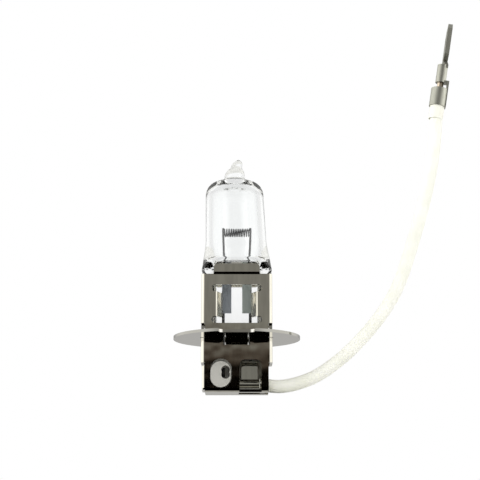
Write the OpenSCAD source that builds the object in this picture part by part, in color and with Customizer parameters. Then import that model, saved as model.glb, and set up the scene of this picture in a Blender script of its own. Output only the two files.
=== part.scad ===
// Single-filament halogen headlight bulb with a 22 mm locating flange.
// Frame: +Z runs along the lamp from its base to its glass tip, the origin is the centre of the
// flange's bulb side, -Y is the front with the window, and the lead leaves towards +X.

/* [Flange] */
// Diameter of the locating flange
flange_d = 22; // [20:0.5:27]
// Thickness of the flange sheet
flange_t = 0.5; // [0.4:0.1:1.0]
// Width of the locating notch at the rim
notch_w = 6; // [4:0.2:7]
// Depth of the locating notch
notch_depth = 1.8; // [1:0.1:2.2]
// Gap between the flange's opening and the holder
flange_gap = 0.1; // [0.05:0.05:0.2]

/* [Holder] */
// Width of the holder across its side wings
holder_w = 12.3; // [12:0.1:14.8]
// Depth of the holder from its front face to its back face
holder_depth = 6.4; // [6:0.1:7.7]
// Thickness of the stamped sheet
sheet_t = 0.5; // [0.4:0.05:0.6]
// Inner radius of the sheet's bends
bend_inside = 0.2; // [0.1:0.05:0.3]
// Height of the holder's top edge above the flange
holder_top = 10.6; // [9.6:0.2:11]
// Height of the gap in the side wings above the flange
wing_gap = 2; // [1.6:0.1:2.4]
// Depth of the collar below the flange's bulb side
collar_depth = 4.8; // [4.6:0.1:6]

/* [Window] */
// Width of the window between its folded flaps
window_w = 6.5; // [5.6:0.1:6.8]
// Height of the window's lower edge
window_z = 2; // [1.6:0.1:2.4]
// Height of the window
window_h = 6.7; // [6:0.1:7]
// Width of the cuts that free the flaps
relief_w = 8.7; // [8.4:0.1:9.2]
// Height of those cuts
relief_h = 1.2; // [0.8:0.1:1.4]
// Width of the plain window in the back plate
back_window_w = 9; // [7:0.1:10]
// Height of that window's lower edge
back_window_z = 2.4; // [2:0.1:3]
// Height of the back plate's window
back_window_h = 7; // [6:0.1:7]

/* [Lip] */
// Width of the rounded lip on the front plate
lip_w = 8; // [7:0.2:9]
// Height of the lip, with the joggle at its foot
lip_h = 1.9; // [1.6:0.1:2]
// How far the lip stands in front of the plate
lip_step = 0.1; // [0.05:0.05:0.3]
// Height of the joggle
lip_joggle = 0.45; // [0.3:0.05:0.6]

/* [Base] */
// Width of the base below the collar
base_w = 10.9; // [10.6:0.1:11]
// Depth of the base's underside below the flange's bulb side
base_depth = 9.8; // [9.6:0.1:11]
// Width of the oval hole
oval_w = 3.7; // [3:0.1:3.8]
// Height of the oval hole
oval_h = 5; // [4.4:0.1:5.2]
// Distance of the oval hole from the middle
oval_x = 2.7; // [2.5:0.05:2.8]
// Width of the arched hole
arch_w = 3.8; // [3.2:0.1:4]
// Height of the arched hole above the underside
arch_h = 5.5; // [5:0.1:5.8]
// Distance of the arched hole from the middle
arch_x = 2.35; // [2.2:0.05:2.5]

/* [Capsule] */
// Outer diameter of the quartz tube
tube_d = 10.7; // [9.8:0.1:11.4]
// Wall of the quartz tube
tube_wall = 1.1; // [0.9:0.05:1.3]
// Height where the tube ends and the dome starts
tube_top = 25.4; // [24:0.2:28]
// Width of the pinch seal
seal_w = 11; // [10.8:0.1:11.1]
// Thickness of the pinch seal's web
seal_t = 2.6; // [2.4:0.1:2.8]
// Thickness of the ridges along the seal's sides
ridge_t = 3.8; // [3.4:0.1:4.2]
// Width of those ridges
ridge_w = 1.4; // [1.2:0.1:1.5]
// Height of the seal's lower end
seal_bottom = 1.4; // [1.2:0.1:1.8]
// Height of the seal's upper end, where the tube flares out
seal_top = 12.1; // [11.8:0.1:12.6]
// Length of the flare from the seal to the tube
flare_h = 3; // [2.6:0.1:3.4]

/* [Filament] */
// Height of the filament's axis above the flange
filament_z = 18.5; // [18:0.1:19]
// Length of the coil
coil_length = 4.9; // [4.7:0.1:5]
// Outer diameter of the coil
coil_d = 1.55; // [1.2:0.05:1.8]
// Diameter of the coil's wire
coil_wire = 0.26; // [0.2:0.02:0.3]
// Turns of the coil
coil_turns = 10; // [8:1:12]
// Diameter of the support wires
support_d = 0.4; // [0.3:0.05:0.5]
// Distance of each support wire from the middle
support_x = 2.4; // [2.3:0.05:2.55]
// Diameter of the outer leads
outer_lead_d = 0.5; // [0.4:0.05:0.6]
// Width of each seal foil
foil_w = 1.65; // [1.2:0.05:1.7]
// Thickness of each seal foil
foil_t = 0.06; // [0.04:0.01:0.1]
// Height of the foils' lower ends
foil_bottom = 4.2; // [3.8:0.1:4.6]
// Length of each seal foil
foil_length = 7.4; // [7:0.1:7.5]

/* [Lead] */
// Diameter over the glass braid
lead_d = 2.3; // [2:0.05:2.4]
// Wall of the glass braid
braid_wall = 0.25; // [0.2:0.05:0.3]
// Diameter of the stranded conductor
conductor_d = 1.2; // [1:0.05:1.4]
// Gap around the lead where it leaves the base
lead_gap = 0.15; // [0.1:0.05:0.2]
// Wall of the sleeve on the braid's end
end_sleeve_wall = 0.15; // [0.1:0.05:0.35]
// Length of that sleeve
end_sleeve_length = 2.4; // [2:0.1:3]

/* [Blade terminal] */
// Width of the flat blade
blade_w = 6.3; // [4.8:0.1:7]
// Thickness of the flat blade
blade_t = 0.8; // [0.6:0.05:0.9]
// Length of the flat blade
blade_length = 6.8; // [6.5:0.1:9]
// Thickness of the terminal's crimped sheet
crimp_wall = 0.35; // [0.3:0.05:0.4]

/* [Hidden] */

$fn = 64;
hull_fn = 32;
cut = 1;                // how far a cutter runs past the face it opens
fit_gap = 0.05;         // gap between pieces that are slid together
bend_r = bend_inside + sheet_t;

// Holder
front_y = -holder_depth / 2;
back_y = holder_depth / 2;
front_inside = front_y + sheet_t;
back_inside = back_y - sheet_t;
wing_end = -0.1;        // where the front plate's wings stop, short of the back plate's
back_plate_drop = 0.2;  // how much lower the back plate ends
oval_foot = 0.65;       // sheet left below the oval hole
arch_corner_r = 1;
lip_drop = 0.1;         // how far the lip reaches below the plate's top edge
lip_corner = 0.75;
base_z = -base_depth;
floor_z = base_z + sheet_t;
collar_z = -collar_depth;
wall_x = base_w / 2 - sheet_t;
wall_top = collar_z + 1;
flap_reach = -seal_t / 2 - fit_gap;
flap_lean = 0.75;       // how far each flap leans towards the middle
back_top = holder_top - back_plate_drop;
hem_lift = 0.4;         // from the base's underside to the hem on its left wall
hem_drop = 0.5;         // from the collar's lower edge down to that hem
hem_set_back = 0.4;     // from the hem to the back wall

// Tongues of the flange and the slots that they fill
slot_w = 4.6;
slot_drop = 1.3;
tongue_w = 3.8;
tongue_t = 0.4;
tongue_top = -0.05;
tongue_drop = 1.1;
side_tongue_w = 3;
tongue_step = 0.15;     // how far the tongues' roots stay above the flange's underside
tongue_kick = 0.3;      // how far the end of a tongue is bent inwards
notch_r = 0.9;
opening_x = holder_w / 2 + flange_gap;
opening_y = holder_depth / 2 + flange_gap;

// Spot welds in the side wings
weld_d = 0.9;
weld_deep = 0.15;
nugget_t = 0.09;
weld_places = [-3.2, 5.2];

// Capsule
tube_r = tube_d / 2;
bore_r = tube_r - tube_wall;
tube_start = seal_top + flare_h;
dome_h = 2.4;
stub_r = 1.75;
stub_top = tube_top + dome_h + 1.2;
tip_h = 3;
shoulder_r = 1.92;
inner_shoulder_r = 1.44;
stub_root_r = 0.9;
stub_root_lift = 0.75;
tip_profile = [[1, 0], [0.86, 0.3], [0.6, 0.65], [0.34, 0.9], [0, 1]];  // shares of stub_r and tip_h
floor_lift = 1.3;       // from the seal's upper end to the bottom of the space inside
floor_profile = [[0, 0], [0.55, 0.25], [0.85, 1.1], [1, 2.6]];  // share of the bore, height in mm
cavity_floor = seal_top + floor_lift;
foil_x = support_x - foil_w / 2 + support_d / 2;
foil_top = foil_bottom + foil_length;
foil_joint = 1.2;       // overlap of each wire with its foil
weld_sink = 0.02;       // how far each weld presses its wire into the foil
coil_steps = 12;        // rings in each turn of the coil
coil_sides = 6;
outer_lead_x = foil_x + foil_w / 2 - outer_lead_d / 2;
outer_lead_y = (foil_t + outer_lead_d) / 2 - weld_sink;
lead_back = outer_lead_y + outer_lead_d / 2;

// Insulator
insulator_gap = 0.05;
insulator_set_back = 0.4;   // gap between the front plate and the insulator
insulator_x = wall_x - insulator_gap;
insulator_front = front_inside + insulator_set_back;
insulator_back = back_inside - insulator_gap;
insulator_top = -flange_t - tongue_drop - 0.2;
roof_z = -4;
pocket_x = 0.15;        // left side of the pocket that holds the crimp terminal
pocket_room = 0.35;     // from the cable grip to the back of the pocket
strap_t = 0.3;
strap_z = -7.1;
strap_h = 1.3;
strap_x = -1.8;         // right side of the strap's turn towards the back
strap_end = 0.5;        // how far the strap runs past the outer lead's centre
recess_d = 1.5;
recess_x = -1.9;
recess_lift = 0.25;
recess_step = 0.8;
boss_gap = 0.12;        // gap round the boss that fills the oval hole
boss_top_gap = 0.45;
boss_sunk = 0.1;        // from the plate's front face to the boss's
boss_shift = 0.05;      // how far the boss sits towards the left
liner_t = 0.2;
liner_gap = 0.02;

// Crimp terminal and lead. The route's points are the centre of the lead, in the plane y = 0.
lead_r = lead_d / 2;
lead_route = [
    [3.9, -8.35], [4.7, -8.38], [5.7, -8.5], [7.4, -8.6], [9.3, -8.35], [11.3, -7.8],
    [13.3, -7], [15.2, -5.9], [17, -4.6], [18.8, -3.15], [20.6, -1.45], [22.3, 0.35],
    [23.9, 2.2], [25.4, 4.15], [26.8, 6.2], [28, 8.4], [29, 10.7], [29.85, 13],
    [30.7, 15.5], [31.5, 18], [32.3, 20.5], [33.05, 23.1], [33.75, 25.7], [34.4, 28.4],
    [34.95, 31.1], [35.4, 33.8], [35.75, 36.5], [36, 39.1], [36.25, 41.6], [36.65, 44]];
lead_end = lead_route[len(lead_route) - 1];
lead_before = lead_route[len(lead_route) - 2];
end_angle = atan2(lead_end[1] - lead_before[1], lead_end[0] - lead_before[0]);
tube_sides = 8;
lead_start = lead_route[0][0];
barrel_z = lead_route[0][1];
barrel_d = lead_d - 2 * braid_wall;
barrel_length = 3.4;
barrel_start = lead_start - barrel_length;
tail_t = 0.35;          // sheet of the crimp terminal's tail
tail_inset = 0.3;
tail_lean = 0.3;        // how far the tail's foot stands in front of its top
exit_z = lead_route[2][1];
end_sleeve_d = lead_d + 2 * end_sleeve_wall;
grip_inset = 0.1;       // from the base's wall to the cable grip, and from the lead to its bore
grip_band = 0.8;
grip_wall = 0.2;
pocket_back = lead_r + grip_inset + grip_wall + pocket_room;

// Blade terminal, measured along its own axis from the end of the lead's insulation
grip_start = -2;
grip_length = 3.4;
strand_grip_start = 2.6;
strand_grip_length = 3.4;
blade_start = 6.6;
blade_tip = blade_start + blade_length;
blade_turn = -4;        // turn of the terminal about the lead
blade_shift = 0.3;      // from the lead's axis to the middle of the blade's thickness
blade_chamfer = 1.2;
blade_shoulder = 0.6;
blade_hole_d = 1.4;
blade_hole_to_tip = 2.65;
spine_w = 1.6;
spine_overlap = 0.5;
slip = 0.02;            // added to a bore that slides over the braid
strand_end = strand_grip_start + strand_grip_length;
conductor_route = concat(
    [[barrel_start + 0.1, barrel_z]],
    lead_route,
    [[lead_end[0] + strand_end * cos(end_angle), lead_end[1] + strand_end * sin(end_angle)]]);

function arc(cx, cy, r, a, b, steps) =
    [for (i = [0:steps]) [cx + r * cos(a + (b - a) * i / steps), cy + r * sin(a + (b - a) * i / steps)]];

// Points of a tube's wall: a ring of tube_sides points square to the route at each of its points
function heading(route, i) =
    let (a = route[max(i - 1, 0)], b = route[min(i + 1, len(route) - 1)])
    atan2(b[1] - a[1], b[0] - a[0]);
function ring(centre, angle, r) =
    [for (k = [0:tube_sides - 1]) let (t = 360 * (k + 0.5) / tube_sides)
        [centre[0] - r * cos(t) * sin(angle), r * sin(t), centre[1] + r * cos(t) * cos(angle)]];
function rings(route, r) =
    [for (i = [0:len(route) - 1]) each ring(route[i], heading(route, i), r)];
function wall_faces(count, first, inward) =
    [for (i = [0:count - 2]) for (k = [0:tube_sides - 1])
        let (a = first + i * tube_sides + k, b = first + i * tube_sides + (k + 1) % tube_sides,
            c = b + tube_sides, d = a + tube_sides)
        inward ? [a, b, c, d] : [d, c, b, a]];
function end_faces(at, other, flip) =
    [for (k = [0:tube_sides - 1]) let (n = (k + 1) % tube_sides)
        flip ? [at + k, other + k, other + n, at + n] : [at + k, at + n, other + n, other + k]];

// A tube along the route, hollow when bore_radius is over zero
module route_tube(route, r, bore_radius = 0) {
    count = len(route);
    inner = count * tube_sides;
    last = (count - 1) * tube_sides;
    if (bore_radius > 0)
        polyhedron(
            points = concat(rings(route, r), rings(route, bore_radius)),
            faces = concat(wall_faces(count, 0, false), wall_faces(count, inner, true),
                end_faces(0, inner, false), end_faces(last, inner + last, true)));
    else
        polyhedron(
            points = rings(route, r),
            faces = concat(wall_faces(count, 0, false),
                [for (k = [1:tube_sides - 2]) [0, k, k + 1]],
                [for (k = [1:tube_sides - 2]) [last, last + k + 1, last + k]]));
}

// Frame at the end of the lead, with +Z along the terminal
module at_lead_end() {
    translate([lead_end[0], 0, lead_end[1]]) rotate([0, 90 - end_angle, 0]) children();
}

module both_sides() {
    for (side = [-1, 1]) scale([side, 1, 1]) children();
}

module slab(x0, x1, y0, y1, z0, z1) {
    translate([x0, y0, z0]) cube([x1 - x0, y1 - y0, z1 - z0]);
}

// Straight hole along Y with round ends, w wide and h high
module long_hole(x, z, w, h, y0, y1) {
    for (end = [-1, 1])
        translate([x, y0, z + end * (h - w) / 2]) rotate([-90, 0, 0]) cylinder(d = w, h = y1 - y0);
    slab(x - w / 2, x + w / 2, y0, y1, z - (h - w) / 2, z + (h - w) / 2);
}

// Half of a bent sheet's cross-section: a front face with a wing turned back along each side
module channel(w, z0, z1, face_y, wing_y) {
    depth = wing_y - face_y;
    translate([0, 0, z0]) linear_extrude(z1 - z0) difference() {
        channel_outline(w, face_y, depth, bend_r);
        translate([0, sheet_t]) channel_outline(w - 2 * sheet_t, face_y, depth, bend_inside);
    }
}

module channel_outline(w, face_y, depth, r) {
    translate([-w / 2, face_y + r]) square([w, depth - r]);
    translate([-w / 2 + r, face_y]) square([w - 2 * r, r]);
    for (side = [-1, 1]) translate([side * (w / 2 - r), face_y + r]) circle(r);
}

module front_holder_plate() {
    color("darkgray") {
        difference() {
            union() {
                channel(holder_w, wing_gap, holder_top, front_y, wing_end);
                channel(holder_w, collar_z, -flange_t, front_y, wing_end);
                slab(-holder_w / 2 + bend_r, holder_w / 2 - bend_r, front_y, front_inside,
                    collar_z, holder_top);
                base_front();
                lip();
                both_sides() flap();
            }
            window_cut();
            slab(-slot_w / 2, slot_w / 2, front_y - cut, front_inside + cut,
                -flange_t - slot_drop, tongue_top);
            long_hole(-oval_x, base_z + oval_h / 2 + oval_foot, oval_w, oval_h, front_y - cut,
                front_inside + cut);
            arch_cut();
            weld_discs(weld_deep + cut);
        }
    }
}

// Front of the base with its floor, which is the same sheet bent under
module base_front() {
    floor_back = back_inside - fit_gap;
    lead_slot = lead_r + lead_gap;
    difference() {
        translate([-base_w / 2, 0, 0]) rotate([90, 0, 90]) linear_extrude(base_w) {
            translate([front_y, base_z + bend_r]) square([sheet_t, collar_z - base_z - bend_r]);
            translate([front_y + bend_r, base_z]) square([floor_back - front_y - bend_r, sheet_t]);
            translate([front_y + bend_r, base_z + bend_r]) difference() {
                circle(bend_r);
                circle(bend_r - sheet_t);
                translate([0, -bend_r]) square([bend_r, 2 * bend_r]);
                translate([-bend_r, 0]) square([2 * bend_r, bend_r]);
            }
        }
        // Opening under the crimp terminal and the lead
        slab(barrel_start - lead_gap, base_w, -lead_slot, lead_slot, base_z - cut, floor_z + cut);
    }
}

// Lip with round corners, joggled a little in front of the plate's top edge
module lip() {
    low = holder_top - lip_drop;
    bent = low + lip_joggle;
    top = low + lip_h;
    lip_y = front_y - lip_step;
    r = lip_corner;
    intersection() {
        translate([-lip_w / 2, 0, 0]) rotate([90, 0, 90]) linear_extrude(lip_w)
            polygon([[front_y, low], [lip_y, bent], [lip_y, top], [lip_y + sheet_t, top],
                [lip_y + sheet_t, bent], [front_inside, low]]);
        translate([0, front_inside + cut, 0]) rotate([90, 0, 0]) linear_extrude(sheet_t + 3 * cut) {
            for (side = [-1, 1]) translate([side * (lip_w / 2 - r), top - r]) circle(r);
            translate([-lip_w / 2, low]) square([lip_w, top - r - low]);
            translate([-lip_w / 2 + r, low]) square([lip_w - 2 * r, top - low]);
        }
    }
}

// Flap folded in beside the window, whose edge holds the seal's web
module flap() {
    translate([window_w / 2, 0, 0]) {
        low = window_z + relief_h;
        high = window_z + window_h - relief_h;
        translate([0, 0, low]) linear_extrude(high - low)
            polygon([[0, front_inside], [sheet_t, front_inside], [sheet_t - flap_lean, flap_reach],
                [-flap_lean, flap_reach]]);
        translate([sheet_t, front_inside, low]) cylinder(r = sheet_t, h = high - low);
    }
}

// Window of the front plate: the opening, the bends of its flaps and the round-ended relief cuts
module window_cut() {
    difference() {
        slab(-window_w / 2 - sheet_t, window_w / 2 + sheet_t, front_y - cut, front_inside,
            window_z, window_z + window_h);
        both_sides() flap();
    }
    for (z = [window_z, window_z + window_h - relief_h])
        translate([0, front_y - cut, z + relief_h / 2]) rotate([-90, 0, 0]) {
            both_sides() translate([relief_w / 2 - relief_h / 2, 0, 0])
                cylinder(d = relief_h, h = sheet_t + cut);
            translate([-relief_w / 2 + relief_h / 2, -relief_h / 2, 0])
                cube([relief_w - relief_h, relief_h, sheet_t + cut]);
        }
}

// Arched hole, open at the bottom, through the front face and its bend
module arch_cut() {
    r = arch_corner_r;
    top = base_z + arch_h;
    translate([arch_x, front_y - cut, 0]) {
        both_sides() translate([arch_w / 2 - r, 0, top - r]) rotate([-90, 0, 0])
            cylinder(r = r, h = cut + bend_r);
        slab(-arch_w / 2 + r, arch_w / 2 - r, 0, cut + bend_r, top - 2 * r, top);
        slab(-arch_w / 2, arch_w / 2, 0, cut + bend_r, base_z - cut, top - r);
    }
}

module back_holder_plate() {
    side_hole = lead_r + lead_gap;
    color("gray") difference() {
        union() {
            scale([1, -1, 1]) channel(holder_w, wing_gap, back_top, front_y, -fit_gap);
            scale([1, -1, 1]) channel(holder_w, collar_z, -flange_t, front_y, -fit_gap);
            slab(-holder_w / 2 + bend_r, holder_w / 2 - bend_r, back_inside, back_y,
                collar_z, back_top);
            scale([1, -1, 1]) channel(base_w, floor_z, collar_z, front_y, 0);
            slab(-base_w / 2, base_w / 2, back_inside, back_y, base_z, floor_z + bend_r);
            both_sides() slab(wall_x, base_w / 2, front_inside, sheet_t, floor_z, wall_top);
            both_sides() slab(wall_x, base_w / 2, 0, back_inside, collar_z - sheet_t, wall_top);
            hem();
        }
        slab(-back_window_w / 2, back_window_w / 2, back_inside - cut, back_y + cut,
            back_window_z, back_window_z + back_window_h);
        slab(-slot_w / 2, slot_w / 2, back_inside - cut, back_y + cut,
            -flange_t - slot_drop, tongue_top);
        // Room for the inside of the front plate's bend
        slab(-base_w, base_w, front_inside - cut, front_inside + bend_inside, floor_z - cut,
            floor_z + bend_inside);
        slab(wall_x - cut, base_w, -side_hole, side_hole, floor_z - cut, exit_z);
        translate([wall_x - cut, 0, exit_z]) rotate([0, 90, 0])
            cylinder(r = side_hole, h = sheet_t + 2 * cut);
    }
}

// Hem folded flat on the outside of the base's left wall, with a round front edge
module hem() {
    r = sheet_t;
    hem_front = front_inside + fit_gap + r;
    low = base_z + hem_lift;
    translate([-base_w / 2, hem_front, low]) linear_extrude(collar_z - hem_drop - low) {
        intersection() {
            circle(r);
            translate([-r, -r]) square([r + fit_gap, r]);
        }
        translate([-r, 0]) square([r + fit_gap, back_inside - hem_set_back - hem_front]);
    }
}

module flange_disc() {
    color("silver") {
        difference() {
            translate([0, 0, -flange_t]) cylinder(d = flange_d, h = flange_t);
            slab(-opening_x, opening_x, -opening_y, opening_y, -flange_t - cut, cut);
            notch_cut();
        }
        // Tongues turned down into the slots of the two plates
        for (side = [-1, 1]) scale([1, side, 1]) tongue();
        // Tongues turned up into the gaps of the side wings
        both_sides() side_tongue();
    }
}

module notch_cut() {
    inner = flange_d / 2 - notch_depth;
    translate([0, 0, -flange_t - cut]) linear_extrude(flange_t + 2 * cut) {
        translate([-notch_w / 2 + notch_r, -inner - notch_r]) square([notch_w - 2 * notch_r, notch_r]);
        for (side = [-1, 1]) translate([side * (notch_w / 2 - notch_r), -inner - notch_r])
            circle(notch_r);
        translate([-notch_w / 2, -flange_d]) square([notch_w, flange_d - inner - notch_r]);
    }
}

// Tongue that leaves the edge of the opening, turns down in the plate's slot and bends inwards
module tongue() {
    root = -0.1;
    root_z = -flange_t + tongue_step;
    face = 2 * flange_gap;
    back = face + tongue_t;
    bend_z = -flange_t - tongue_drop / 2;
    end_z = -flange_t - tongue_drop;
    translate([-tongue_w / 2, -opening_y, 0]) rotate([90, 0, 90]) linear_extrude(tongue_w)
        polygon([[root, root_z], [root, tongue_top], [back, tongue_top], [back, bend_z],
            [back + tongue_kick, end_z + tongue_t / 2], [back, end_z], [face, bend_z], [face, root_z]]);
}

module side_tongue() {
    slab(holder_w / 2 - sheet_t, opening_x + fit_gap, -side_tongue_w / 2, side_tongue_w / 2,
        -flange_t + tongue_step, 0);
    slab(holder_w / 2 - sheet_t, holder_w / 2, -side_tongue_w / 2, side_tongue_w / 2,
        0, wing_gap - fit_gap);
}

// Shallow round dents in the plates' side wings, each filled by a weld nugget
module weld_discs(thick) {
    for (z = weld_places) both_sides()
        translate([holder_w / 2 - weld_deep, front_y / 2, z]) rotate([0, 90, 0])
            cylinder(d = weld_d, h = thick);
}
module spot_welds() { color("dimgray") weld_discs(nugget_t); }

// Outer shape of the seal: a web between two thicker ridges
module seal_body() {
    translate([0, 0, seal_bottom]) linear_extrude(seal_top - seal_bottom) {
        square([seal_w - ridge_w, seal_t], center = true);
        for (side = [-1, 1]) translate([side * (seal_w - ridge_w) / 2, 0])
            square([ridge_w, ridge_t], center = true);
    }
}

// Half outline of the tube, its dome and the sealed exhaust tip
function outer_outline() = concat(
    [[0, tube_start], [tube_r, tube_start]],
    arc(tube_r - shoulder_r, tube_top, shoulder_r, 0, 60, 6),
    arc(stub_r + stub_root_r, tube_top + dome_h + stub_root_lift, stub_root_r, 270, 180, 5),
    [for (p = tip_profile) [stub_r * p[0], stub_top + tip_h * p[1]]]);

// Half outline of the space inside
function inner_outline() = concat(
    [for (p = floor_profile) [bore_r * p[0], cavity_floor + p[1]]],
    arc(bore_r - inner_shoulder_r, tube_top - 0.2, inner_shoulder_r, 0, 80, 6),
    [[0, tube_top + inner_shoulder_r]]);

module quartz_envelope() {
    color("aliceblue", 0.4) difference() {
        union() {
            seal_body();
            rotate_extrude() polygon(outer_outline());
            // Flare, from the seal's rectangle to the round tube
            hull() {
                translate([0, 0, seal_top]) linear_extrude(0.01)
                    square([seal_w, ridge_t], center = true);
                translate([0, 0, tube_start - 0.01]) cylinder(r = tube_r, h = 0.01, $fn = hull_fn);
            }
        }
        rotate_extrude() polygon(inner_outline());
        for (side = [-1, 1]) {
            support_wire(side);
            seal_foil(side);
            outer_lead(side, seal_bottom - cut);
        }
    }
}

// Helix about the X axis. It starts one step early, so that both ends meet the support wires.
module filament_coil() {
    steps = coil_turns * coil_steps + 1;
    wire_r = coil_wire / 2;
    helix_r = coil_d / 2 - wire_r;
    span = coil_length - coil_wire;
    points = [for (i = [0:steps]) for (k = [0:coil_sides - 1])
        let (turn = 360 * (i - 1) / coil_steps, t = 360 * k / coil_sides, r = helix_r + wire_r * cos(t))
        [(i / steps - 0.5) * span + wire_r * sin(t), r * sin(turn), r * cos(turn)]];
    faces = concat(
        [for (i = [0:steps - 1]) for (k = [0:coil_sides - 1])
            let (a = i * coil_sides + k, b = i * coil_sides + (k + 1) % coil_sides)
            [a, b, b + coil_sides, a + coil_sides]],
        [[for (k = [coil_sides - 1:-1:0]) k]],
        [[for (k = [0:coil_sides - 1]) steps * coil_sides + k]]);
    color("dimgray") translate([0, 0, filament_z]) polyhedron(points = points, faces = faces);
}

// Wire from its foil up to the coil's end
module support_wire(side) {
    top = filament_z + coil_d / 2;
    translate([side * support_x, weld_sink - (foil_t + support_d) / 2, foil_top - foil_joint])
        cylinder(d = support_d, h = top - foil_top + foil_joint);
}
module left_support_wire() { color("gray") support_wire(-1); }
module right_support_wire() { color("gray") support_wire(1); }

module seal_foil(side) {
    translate([side * foil_x - foil_w / 2, -foil_t / 2, foil_bottom])
        cube([foil_w, foil_t, foil_length]);
}
module left_seal_foil() { color("slategray") seal_foil(-1); }
module right_seal_foil() { color("slategray") seal_foil(1); }

// Wire from the lower end of its foil down into the base
module outer_lead(side, bottom) {
    translate([side * outer_lead_x, outer_lead_y, bottom])
        cylinder(d = outer_lead_d, h = foil_bottom + foil_joint - bottom);
}
module left_outer_lead() { color("gray") outer_lead(-1, strap_z - 0.2); }
module right_outer_lead() { color("gray") outer_lead(1, barrel_z + barrel_d / 2 + 0.5); }

module ceramic_insulator() {
    hole_d = outer_lead_d + 2 * insulator_gap;
    chamfer = bend_inside * sqrt(2);
    color("gainsboro") difference() {
        union() {
            slab(-insulator_x, insulator_x, insulator_front, insulator_back, floor_z + insulator_gap,
                insulator_top);
            boss();
        }
        // Chamfers that clear the inside of the back plate's bends
        both_sides() translate([insulator_x, insulator_back, floor_z - cut]) rotate([0, 0, 45])
            cube([chamfer, chamfer, 2 * base_depth], center = true);
        // Pocket of the crimp terminal, open to the front and to the side where the lead leaves
        slab(pocket_x, base_w, front_y, pocket_back, floor_z - cut, roof_z);
        for (side = [-1, 1]) translate([side * outer_lead_x, outer_lead_y, floor_z + 1])
            cylinder(d = hole_d, h = base_depth);
        // Recess in the front where the left lead meets its strap
        for (z = [0, recess_step]) translate([recess_x, front_y - cut, strap_z + z + recess_lift])
            rotate([-90, 0, 0]) cylinder(d = recess_d, h = cut + outer_lead_y - front_y);
        strap_body(insulator_gap);
    }
}

// Boss on the insulator's front that nearly fills the oval hole
module boss() {
    boss_h = oval_h - boss_gap - boss_top_gap;
    long_hole(-oval_x - boss_shift, base_z + oval_foot + boss_gap + boss_h / 2, oval_w - 2 * boss_gap,
        boss_h, front_y + boss_sunk, insulator_front + fit_gap);
}

// Bent strip from the left outer lead back to the holder
module strap_body(grow) {
    slab(-outer_lead_x - strap_end - grow, strap_x + grow, lead_back - grow, lead_back + strap_t + grow,
        strap_z - grow, strap_z + strap_h + grow);
    slab(strap_x - strap_t - grow, strap_x + grow, lead_back, back_inside + (grow > 0 ? cut : 0),
        strap_z - grow, strap_z + strap_h + grow);
}
module earth_strap() { color("silver") strap_body(0); }

// Barrel that grips the lead's strands, with the tail that the right outer lead is welded to
module crimp_terminal() {
    lead_front = outer_lead_y - outer_lead_d / 2;
    tail_x = barrel_start + tail_inset;
    tail_end = barrel_start + barrel_length - tail_inset;
    barrel_top = barrel_z + barrel_d / 2;
    foot_z = barrel_top - tail_t;
    top_z = roof_z - tail_inset;
    foot_y = lead_front - tail_lean;
    color("silver") {
        difference() {
            translate([barrel_start, 0, barrel_z]) rotate([0, 90, 0])
                cylinder(d = barrel_d, h = barrel_length);
            translate([barrel_start - cut, 0, barrel_z]) rotate([0, 90, 0])
                cylinder(d = conductor_d, h = barrel_length + 2 * cut);
        }
        translate([tail_x, 0, 0]) rotate([90, 0, 90]) linear_extrude(tail_end - tail_x)
            polygon([[foot_y - tail_t, foot_z], [foot_y, foot_z], [lead_front, top_z],
                [lead_front - tail_t, top_z]]);
        slab(tail_x, tail_end, foot_y - tail_t, 0, barrel_top - (barrel_d - conductor_d) / 2, barrel_top);
    }
}

module insulating_liner() {
    back = pocket_back - liner_gap;
    color("khaki") slab(pocket_x + insulator_gap, insulator_x - insulator_gap, back - liner_t, back,
        floor_z + liner_gap, roof_z - insulator_gap);
}

// Band round the lead just inside the base
module cable_grip() {
    bore = lead_r + grip_inset;
    color("silver") translate([lead_start + grip_inset, 0, barrel_z]) rotate([0, 90, 0]) difference() {
        cylinder(r = bore + grip_wall, h = grip_band);
        translate([0, 0, -cut]) cylinder(r = bore, h = grip_band + 2 * cut);
    }
}

module lead_conductor() {
    color("peru")
        route_tube(conductor_route, conductor_d / 2);
}

module lead_insulation() {
    color("ivory") route_tube(lead_route, lead_r - braid_wall, conductor_d / 2);
}

module lead_sleeve() {
    color("white") route_tube(lead_route, lead_r, lead_r - braid_wall);
}

module end_sleeve() {
    color("ivory") at_lead_end() translate([0, 0, grip_start - end_sleeve_length]) difference() {
        cylinder(d = end_sleeve_d, h = end_sleeve_length);
        translate([0, 0, -cut]) cylinder(d = lead_d + slip, h = end_sleeve_length + 2 * cut);
    }
}

// Push-on blade with one crimp on the lead's covering and one on its strands
module blade_terminal() {
    half = spine_w / 2;
    strand_r = conductor_d / 2;
    strand_grip_end = strand_grip_start + strand_grip_length;
    color("lightgray") at_lead_end() rotate([0, 0, blade_turn]) {
        crimp(lead_d + slip, grip_start, grip_length);
        crimp(conductor_d, strand_grip_start, strand_grip_length);
        // Spine that joins the two crimps and the blade
        slab(lead_r, lead_r + crimp_wall, -half, half, grip_start, strand_grip_start);
        slab(strand_r, lead_r + crimp_wall, -half, half, strand_grip_start,
            strand_grip_start + crimp_wall);
        translate([0, half, 0]) rotate([90, 0, 0]) linear_extrude(spine_w)
            polygon([[strand_r, strand_grip_end - spine_overlap],
                [strand_r + crimp_wall, strand_grip_end - spine_overlap],
                [strand_r + crimp_wall, strand_grip_end],
                [blade_shift + blade_t / 2, blade_start], [blade_shift - blade_t / 2, blade_start],
                [strand_r, strand_grip_end]]);
        blade();
    }
}

module crimp(bore, start, length) {
    difference() {
        translate([0, 0, start]) cylinder(d = bore + 2 * crimp_wall, h = length);
        translate([0, 0, start - cut]) cylinder(d = bore, h = length + 2 * cut);
    }
}

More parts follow.
